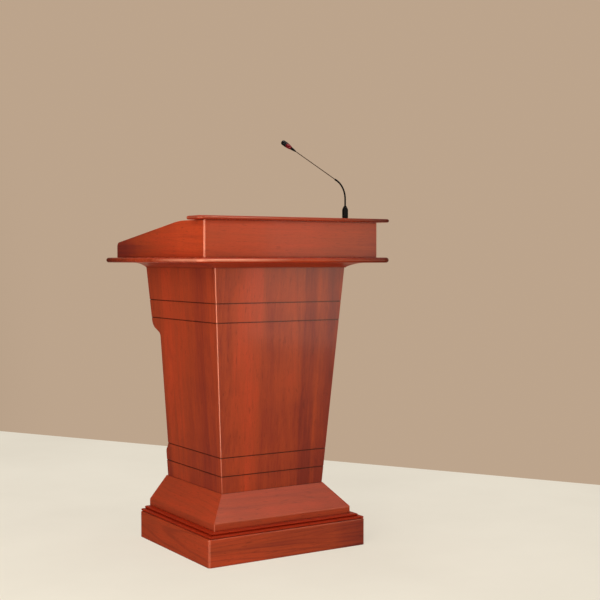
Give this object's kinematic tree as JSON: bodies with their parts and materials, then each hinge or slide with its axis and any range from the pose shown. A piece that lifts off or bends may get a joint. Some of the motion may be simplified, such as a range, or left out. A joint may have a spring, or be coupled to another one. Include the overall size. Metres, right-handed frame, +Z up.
{
  "type": "lectern podium",
  "caption": "Free-standing wooden lectern with a moulded plinth, flared column, rear cupboard and drawer, sloping reading box and a gooseneck microphone.",
  "frame": {"origin": "on the floor under the middle of the desk board, which is the widest and deepest piece", "axes": "+Z up, -Y towards the audience, +Y towards the speaker, +X to the audience's right"},
  "size_m": [0.756, 0.766, 1.4397],
  "materials": {
    "veneer": "glossy lacquered red cherry veneer, grain upright",
    "moulding": "glossy lacquered red cherry moulding",
    "plinth": "glossy lacquered red cherry veneer, grain level",
    "desk": "glossy lacquered red cherry board with a half-round edge",
    "box": "glossy lacquered red cherry veneer, grain level",
    "inner_board": "satin light inner board",
    "steel": "zinc-plated steel",
    "knob_metal": "satin antique brass",
    "black_plastic": "moulded black plastic",
    "mic_black": "semi-gloss black",
    "mic_light": "translucent red light ring",
    "socket_black": "black coated socket shell"
  },
  "bodies": {
    "cabinet": {"front_panel": "veneer", "left_panel": "veneer", "right_panel": "veneer", "rear_base_panel": "veneer", "rear_top_rail": "veneer", "door_stiles": "veneer", "apron_rail": "veneer", "reed_moulding": "moulding", "skirt_front": "moulding", "skirt_sides": "moulding", "cove_front": "moulding", "cove_sides": "moulding", "plinth_front": "plinth", "plinth_back": "plinth", "plinth_sides": "plinth", "desk_board": "desk", "top_board": "desk", "book_stop": "desk", "box_front": "box", "cheek_left": "box", "cheek_right": "box", "box_rear_rail": "box", "equipment_panel": "box", "reading_panel": "box", "plinth_top": "inner_board", "corner_blocks": "inner_board", "cupboard_floor": "inner_board", "inner_shelf": "inner_board", "drawer_deck": "inner_board", "drawer_supports": "inner_board", "desk_screws": "steel", "shelf_pins": "steel", "frame_hinge_leaves": "steel", "hinge_pins": "steel", "runner_outer": "steel", "glides": "black_plastic", "door_catches": "black_plastic", "mic_socket": "socket_black", "socket_screws": "socket_black"},
    "door_left": {"door_left": "veneer", "door_hinge_leaves_left": "steel", "door_knob_left": "knob_metal", "strike_plate_left": "steel"},
    "door_right": {"door_right": "veneer", "door_hinge_leaves_right": "steel", "door_knob_right": "knob_metal", "strike_plate_right": "steel"},
    "drawer": {"drawer_front": "veneer", "drawer_sides": "inner_board", "drawer_back": "inner_board", "drawer_bottom": "inner_board", "drawer_knob": "knob_metal", "runner_inner": "steel"},
    "microphone": {"mic_barrel": "mic_black", "mic_neck_lower": "mic_black"},
    "mic_arm": {"mic_neck_upper": "mic_black", "mic_stem": "mic_black", "mic_light_ring": "mic_light", "mic_capsule": "mic_black"},
    "release_tab": {"release_tab": "socket_black"}
  },
  "joints": [
    {"name": "door_left_hinge", "type": "hinge", "parent": "cabinet", "child": "door_left", "pos_m": [-0.1765, 0.193, 0.525], "axis": [0, 0, 1], "range_deg": [0, 110]},
    {"name": "door_right_hinge", "type": "hinge", "parent": "cabinet", "child": "door_right", "pos_m": [0.1765, 0.193, 0.525], "axis": [0, 0, -1], "range_deg": [0, 110]},
    {"name": "drawer_slide", "type": "slide", "parent": "cabinet", "child": "drawer", "axis": [0, 1, 0], "range_m": [0, 0.3]},
    {"name": "mic_unplug", "type": "slide", "parent": "cabinet", "child": "microphone", "axis": [0, 0, 1], "range_m": [0, 0.04]},
    {"name": "mic_neck_bend", "type": "hinge", "parent": "microphone", "child": "mic_arm", "pos_m": [0.22862, -0.29671, 1.25687], "axis": [0.9397, 0.342, 0], "range_deg": [-30, 58]},
    {"name": "release_tab_press", "type": "slide", "parent": "cabinet", "child": "release_tab", "axis": [0, 0, -1], "range_m": [0, 0.0012], "stiffness_N_per_m": 300, "springref_m": -0.0005}
  ]
}
